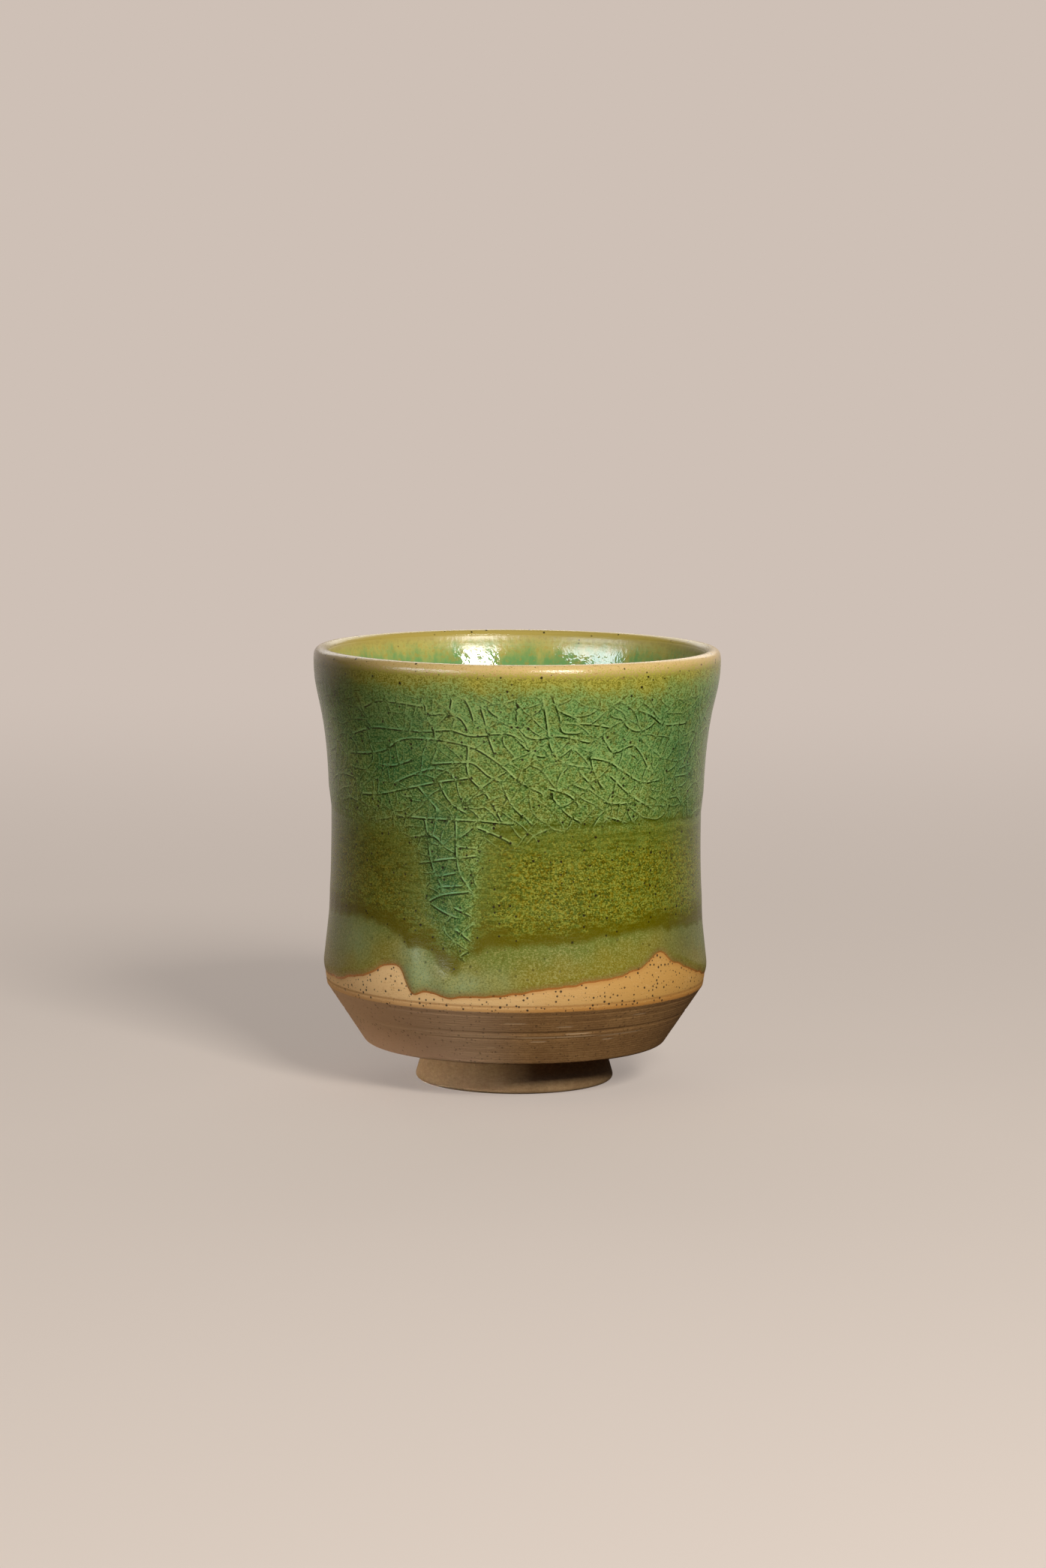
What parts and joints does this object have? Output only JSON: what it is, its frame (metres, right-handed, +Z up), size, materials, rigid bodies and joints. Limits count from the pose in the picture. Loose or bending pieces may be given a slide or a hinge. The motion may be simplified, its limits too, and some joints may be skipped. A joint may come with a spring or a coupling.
{
  "type": "yunomi tea cup",
  "caption": "Tall handleless stoneware tea cup with a flared rim, gentle waist, trimmed lower cone and flared foot ring, lined and dipped in layered green glazes with a run.",
  "frame": {"origin": "middle of the foot ring's resting face, on the table", "axes": "+Z up along the cup's axis, -Y towards the side with the long glaze run"},
  "size_m": [0.0824, 0.0822, 0.088],
  "materials": {
    "stoneware": "unglazed speckled stoneware, toasted near the glaze, matte",
    "slip": "fired clay slip, matte",
    "foot_clay": "unglazed smooth stoneware, matte",
    "lining": "glossy ash glaze, yellow where thin and green where pooled",
    "pale_glaze": "pale green satin glaze with an orange hem",
    "olive_glaze": "mottled olive satin glaze with iron specks",
    "crackle_glaze": "thick crazed green satin glaze with teal pools"
  },
  "bodies": {
    "root": {"clay_cup": "stoneware", "foot_slip": "slip", "foot_ring": "foot_clay", "lining_glaze": "lining", "base_glaze": "pale_glaze", "olive_glaze": "olive_glaze", "crackle_glaze": "crackle_glaze"}
  },
  "joints": []
}
